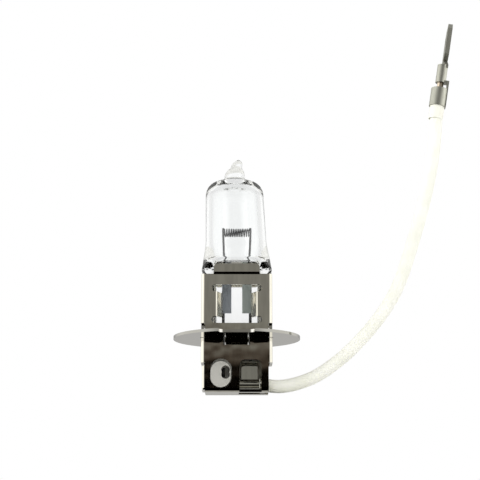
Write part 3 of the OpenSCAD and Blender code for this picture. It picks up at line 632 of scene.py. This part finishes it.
# %% Sections of the capsule
def seal_quarter():
    """A quarter of the seal's outline, from its side to its middle."""
    inner = SEAL_HALF_W - RIDGE_W
    corners = [(SEAL_HALF_W, 0), (SEAL_HALF_W, RIDGE - RIDGE_SOFT), (SEAL_HALF_W - RIDGE_SOFT, RIDGE),
               (inner + RIDGE_SOFT, RIDGE), (inner - RIDGE_SOFT, WEB), (0, WEB)]
    points = []
    for (x0, y0), (x1, y1), steps in zip(corners, corners[1:], SIDE_STEPS):
        points += [(x0 + (x1 - x0) * i / steps, y0 + (y1 - y0) * i / steps) for i in range(steps)]
    return points


def full_ring(quarter):
    """Turns a quarter outline, from +X to +Y, into the whole ring."""
    right = quarter + [(0, WEB)]
    top = right + [(-x, y) for x, y in reversed(right[:-1])]
    return top + [(x, -y) for x, y in reversed(top[1:-1])]


SEAL_RING = full_ring(seal_quarter())
RING_COUNT = len(SEAL_RING)


def circle_ring(r):
    return [(r * math.cos(2 * math.pi * i / RING_COUNT), r * math.sin(2 * math.pi * i / RING_COUNT))
            for i in range(RING_COUNT)]


def ring_at(z, shape, lean=0):
    return [Vector((x + lean, y, z)) for x, y in shape]


def ease(z, start, end):
    """Goes smoothly from 0 at start to 1 at end."""
    share = min(max((z - start) / (end - start), 0), 1)
    return share * share * (3 - 2 * share)


def lean_at(z):
    return LEAN * ease(z, SPREAD_LOW, TUBE_END)


def flare_ring(z):
    """Section between the seal's outline and the tube's circle, with its spread sides."""
    round_share = ease(z, SEAL_TOP, TUBE_START)
    flat_share = 1 - round_share
    spread = ease(z, HOLDER_TOP, SPREAD_LOW) * (1 - ease(z, SPREAD_LOW, SPREAD_HIGH))
    half = SEAL_HALF_W * flat_share + TUBE_R * round_share
    widen = (half + (SPREAD_W - half) * spread) / half
    return [((a[0] * flat_share + b[0] * round_share) * widen, a[1] * flat_share + b[1] * round_share)
            for a, b in zip(SEAL_RING, circle_ring(TUBE_R))]


def curve_between(start, end, bulge, steps):
    """Points (r, z) from start to end along a quarter of a superellipse that bulges outwards."""
    points = []
    for i in range(1, steps + 1):
        a = math.pi / 2 * i / steps
        points.append((end[0] + (start[0] - end[0]) * math.cos(a) ** bulge,
                       start[1] + (end[1] - start[1]) * math.sin(a) ** bulge))
    return points

# %% Extruding rings
DIGITS = 7                      # decimals of a metre that tell two points of a ring apart


def stack(rings):
    """A closed skin through the rings: a circle is filled, extruded and moved ring by ring."""
    begin()
    bpy.ops.mesh.primitive_circle_add(vertices=len(rings[0]), radius=MM, fill_type="NGON")
    edit()
    mesh = bmesh.from_edit_mesh(bpy.context.object.data)
    for point, place in zip(mesh.verts, rings[0]):
        point.co = place
    bpy.ops.mesh.select_all(action="SELECT")
    for below, ring in zip(rings, rings[1:]):
        bpy.ops.mesh.extrude_region_move()
        mesh = bmesh.from_edit_mesh(bpy.context.object.data)
        number = {place.to_tuple(DIGITS): i for i, place in enumerate(below)}
        for point in mesh.verts:
            if point.select:
                point.co = ring[number[point.co.to_tuple(DIGITS)]]
        bmesh.update_edit_mesh(bpy.context.object.data)
    bpy.ops.mesh.merge(type="CENTER")
    bpy.ops.mesh.select_all(action="SELECT")
    bpy.ops.mesh.normals_make_consistent(inside=False)
    edit(False)
    return bpy.context.object


# %% Outer skin of the capsule
BOTTOM_TAPER, BOTTOM_EDGE = (0.94, 0.8), 0.3 * MM       # the seal's lower end is drawn in a little
STRETCHES = [(HOLDER_TOP, SEAL_TOP, 6), (SEAL_TOP, TUBE_START, 16), (TUBE_START, SPREAD_HIGH, 8)]
DOME_TOP = (2.5 * MM, 27.75 * MM)   # radius and height at which the dome turns up into the tip
DOME_BULGE, DOME_STEPS = 0.9, 12
TIP_LEAN, TIP_LEAN_START = 0.75 * MM, 28.8 * MM
TIP_OUTLINE = [(2.15, 27.95), (1.93, 28.2), (1.84, 28.5), (1.8, 28.9), (1.7, 29.4), (1.5, 29.85),
               (1.2, 30.25), (0.98, 30.6), (0.95, 31.0), (0.8, 31.4)]
rings = [ring_at(SEAL_BOTTOM, [(x * BOTTOM_TAPER[0], y * BOTTOM_TAPER[1]) for x, y in SEAL_RING]),
         ring_at(SEAL_BOTTOM + BOTTOM_EDGE, SEAL_RING)]
for low, high, steps in STRETCHES:
    for i in range(steps):
        z = low + (high - low) * i / steps
        rings.append(ring_at(z, flare_ring(z), lean_at(z)))
rings.append(ring_at(SPREAD_HIGH, circle_ring(TUBE_R), lean_at(SPREAD_HIGH)))
outline = [(TOP_R, TUBE_END)]
outline += curve_between((TOP_R, TUBE_END), DOME_TOP, DOME_BULGE, DOME_STEPS)
outline += [(r * MM, z * MM) for r, z in TIP_OUTLINE]
outline += [(0.46 * MM, TIP_TOP - 0.22 * MM), (0.16 * MM, TIP_TOP - 0.03 * MM), (0.02 * MM, TIP_TOP)]
for r, z in outline:
    lean = LEAN + TIP_LEAN * max(0, (z - TIP_LEAN_START) / (TIP_TOP - TIP_LEAN_START)) ** 1.5
    rings.append(ring_at(z, circle_ring(r), lean))
capsule = stack(rings)
print("outer skin:", len(rings), "rings")

# %% Inner skin of the capsule
CAVITY_FLOOR, CAVITY_FULL, CAVITY_TOP = 13.3 * MM, 13.8 * MM, 24.9 * MM
CAVITY_STEPS = 8                # rings in the rounded corner of the floor
FLOOR_SHARE = 0.84              # width of the flat floor, as a share of the bore
FLOOR_RINGS = [(0.3, 0.12), (0.75, 0.1), (0.93, 0.06)]  # share of that width, sag in millimetres
TOP_BORE_R = TOP_R - WALL
CAVITY_DOME, CAVITY_DOME_STEPS = (1.3 * MM, 26.75 * MM), 10
CAVITY_TIP = [(0.9, 26.95), (0.6, 27.4), (0.25, 27.6), (0.02, 27.62)]


def cavity_ring(z):
    """The bore, with a rounded corner where it meets the floor."""
    below = (CAVITY_FULL - z) / (CAVITY_FULL - CAVITY_FLOOR)
    return circle_ring(BORE_R * (1 - (1 - FLOOR_SHARE) * (1 - math.sqrt(1 - below ** 2))))


floor_ring = cavity_ring(CAVITY_FLOOR)
lower = [ring_at(CAVITY_FLOOR - sag * MM, [(x * share, y * share) for x, y in floor_ring],
                 lean_at(CAVITY_FLOOR)) for share, sag in FLOOR_RINGS]
for i in range(CAVITY_STEPS + 1):
    z = CAVITY_FLOOR + (CAVITY_FULL - CAVITY_FLOOR) * i / CAVITY_STEPS
    lower.append(ring_at(z, cavity_ring(z), lean_at(z)))
lower.append(ring_at(SPREAD_HIGH, circle_ring(BORE_R), lean_at(SPREAD_HIGH)))
inside = [(TOP_BORE_R, CAVITY_TOP)]
inside += curve_between((TOP_BORE_R, CAVITY_TOP), CAVITY_DOME, DOME_BULGE, CAVITY_DOME_STEPS)
inside += [(r * MM, z * MM) for r, z in CAVITY_TIP]
cavity = stack(lower + [ring_at(z, circle_ring(r), LEAN) for r, z in inside])
edit()
bpy.ops.mesh.select_all(action="SELECT")
bpy.ops.mesh.flip_normals()
edit(False)
capsule.select_set(True)
cavity.select_set(True)
bpy.context.view_layer.objects.active = capsule
bpy.ops.object.join()
print("inner skin:", len(lower) + len(inside), "rings")

# %% [markdown]
# Quartz glass is clearer than window glass and bends light less, with an index of 1.458. Drawing
# the tube leaves faint lines along it, and pressing the seal leaves its surface gently uneven, so
# two noises, one drawn out along the tube, disturb the surface by about ten micrometres.

# %% Fused quartz
DRAWN_MM, PRESSED_MM, QUARTZ_STRETCH, QUARTZ_DEPTH = 0.9, 1.4, (1, 1, 0.05), 0.012 * MM
quartz, tree, where = new_material("fused_quartz")
stretched = add_node(tree, "ShaderNodeMapping", {"Vector": where, "Scale": QUARTZ_STRETCH})
drawn = add_node(tree, "ShaderNodeTexNoise",
                 {"Vector": stretched.outputs[0], "Scale": PER_MM / DRAWN_MM, "Detail": 1})
pressed = add_node(tree, "ShaderNodeTexNoise",
                   {"Vector": where, "Scale": PER_MM / PRESSED_MM, "Detail": 2})
both = add_node(tree, "ShaderNodeMath", {0: drawn.outputs["Fac"], 1: pressed.outputs["Fac"]},
                operation="ADD")
relief = add_node(tree, "ShaderNodeBump",
                  {"Height": both.outputs[0], "Strength": 1.0, "Distance": QUARTZ_DEPTH})
shader = add_node(tree, "ShaderNodeBsdfPrincipled",
                  {"Base Color": linear("#FDFEFE"), "Roughness": 0.0, "IOR": 1.458,
                   "Transmission Weight": 1.0, "Normal": relief.outputs[0]})
add_node(tree, "ShaderNodeOutputMaterial", {"Surface": shader.outputs[0]})
adopt("quartz_capsule", quartz, replaces=["quartz_envelope"], smooth=50)

# %% [markdown]
# ## Filament
# The filament is a helix of tungsten wire. A circle stands beside the axis, and the Screw modifier
# turns it again and again while it moves along, which is how the real coil is wound on its mandrel. Its
# ends reach the two support wires.

# %% Coil
coil_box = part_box("filament_coil")
coil_size = coil_box[1] - coil_box[0]
coil_centre = (coil_box[0] + coil_box[1]) / 2
WIRE_R = 0.08 * MM
WIRE_SIDES = 12
TURNS, TURN_STEPS = 15, 32
helix_r = coil_size.z / 2 - WIRE_R
begin()
bpy.ops.mesh.primitive_circle_add(vertices=WIRE_SIDES, radius=WIRE_R, location=(helix_r, 0, 0),
                                  rotation=(math.radians(90), 0, 0), fill_type="NOTHING")
bpy.ops.object.transform_apply(location=True, rotation=True, scale=True)
span = coil_size.x - 2 * WIRE_R
apply_modifier("SCREW", axis="Z", steps=TURN_STEPS, render_steps=TURN_STEPS, iterations=TURNS,
               screw_offset=span / TURNS, use_merge_vertices=False)
edit()
bpy.ops.mesh.select_all(action="SELECT")
bpy.ops.mesh.fill_holes(sides=0)
bpy.ops.mesh.normals_make_consistent(inside=False)
bpy.ops.mesh.select_all(action="SELECT")
edit(False)
coil = bpy.context.object
coil.rotation_euler = (0, math.radians(90), 0)
coil.location = coil_centre - Vector((span / 2, 0, 0))
adopt("tungsten_coil", tungsten, replaces=["filament_coil"], smooth=60)

# %% [markdown]
# ## Finishes for the CAD nodes
# The stamped plates, the flange, the wires and the ceramic are already the right shape, so they
# only take their material.

# %% Assign finishes
FINISHES = {
    "front_holder_plate": plate, "back_holder_plate": plate, "flange_disc": flange_plate_painted_shade,
    "spot_welds": welds, "ceramic_insulator": ceramic, "insulating_liner": mica,
    "earth_strap": strap_painted_shade, "cable_grip": plate, "crimp_terminal": bright_tin, "blade_terminal": tinned,
    "left_support_wire": molybdenum, "right_support_wire": molybdenum,
    "left_outer_lead": molybdenum, "right_outer_lead": molybdenum,
    "left_seal_foil": left_foil_painted_shade, "right_seal_foil": right_foil_painted_light,
    "lead_insulation": rubber, "lead_conductor": strands, "end_sleeve": cream,
}
for node_name, finish in FINISHES.items():
    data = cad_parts[node_name].data
    data.materials.clear()
    data.materials.append(finish)
print("finishes:", len(FINISHES), "nodes")
